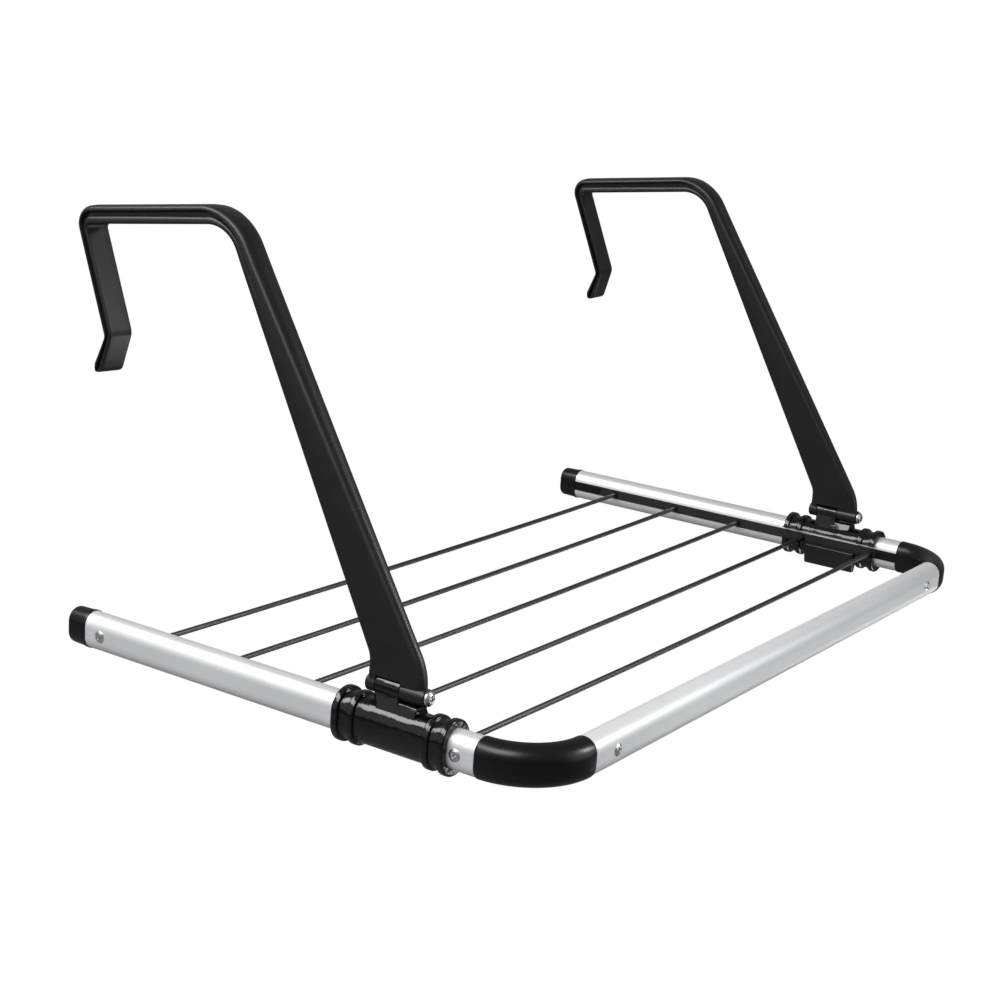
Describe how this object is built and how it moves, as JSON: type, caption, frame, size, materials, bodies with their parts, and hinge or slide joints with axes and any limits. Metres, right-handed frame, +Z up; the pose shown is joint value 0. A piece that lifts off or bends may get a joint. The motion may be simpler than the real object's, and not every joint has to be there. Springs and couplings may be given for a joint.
{
  "type": "hanging drying rack",
  "caption": "Small drying rack that hangs over a rail on hook arms, which fold flat and slide along a U-shaped tube frame strung with drying wires.",
  "frame": {"origin": "where the rack hangs: midway between the two hooks, on the line through the middles of their undersides", "axes": "+X along the front tube from the left hook to the right hook, +Y from the front tube towards the rail and the wall, +Z up"},
  "size_m": [0.523, 0.3227, 0.2566],
  "materials": {
    "aluminium": "satin anodised",
    "matte_black": "fine matte",
    "arm_black": "fine matte grain",
    "gloss_black": "gloss",
    "wire": "dull grey",
    "steel": "satin",
    "screw": "satin"
  },
  "bodies": {
    "frame": {"front_tube": "aluminium", "side_tube_left": "aluminium", "side_tube_right": "aluminium", "corner_elbow_left": "matte_black", "corner_elbow_right": "matte_black", "end_cap_left": "matte_black", "end_cap_right": "matte_black", "slot_strip_left": "matte_black", "slot_strip_right": "matte_black", "drying_wire_1": "wire", "drying_wire_2": "wire", "drying_wire_3": "wire", "drying_wire_4": "wire", "drying_wire_5": "wire", "wire_ferrules_left": "steel", "wire_ferrules_right": "steel", "rivets_front": "steel", "rivets_left": "steel", "rivets_right": "steel"},
    "collar_left": {"sliding_collar_left": "gloss_black", "lock_plate_left": "gloss_black", "lock_screws_left": "screw"},
    "collar_right": {"sliding_collar_right": "gloss_black", "lock_plate_right": "gloss_black", "lock_screws_right": "screw"},
    "arm_left": {"hook_arm_left": "arm_black", "hinge_pin_left": "screw", "hinge_nut_left": "screw"},
    "arm_right": {"hook_arm_right": "arm_black", "hinge_pin_right": "screw", "hinge_nut_right": "screw"}
  },
  "joints": [
    {"name": "collar_slide_left", "type": "slide", "parent": "frame", "child": "collar_left", "axis": [0, 1, 0], "range_m": [-0.001, 0.16]},
    {"name": "collar_slide_right", "type": "slide", "parent": "frame", "child": "collar_right", "axis": [0, 1, 0], "range_m": [-0.001, 0.16]},
    {"name": "hook_fold_left", "type": "hinge", "parent": "collar_left", "child": "arm_left", "pos_m": [-0.25, -0.17297, -0.20594], "axis": [0, 1, 0], "range_deg": [0, 88]},
    {"name": "hook_fold_right", "type": "hinge", "parent": "collar_right", "child": "arm_right", "pos_m": [0.25, -0.17297, -0.20594], "axis": [0, -1, 0], "range_deg": [0, 88]}
  ]
}
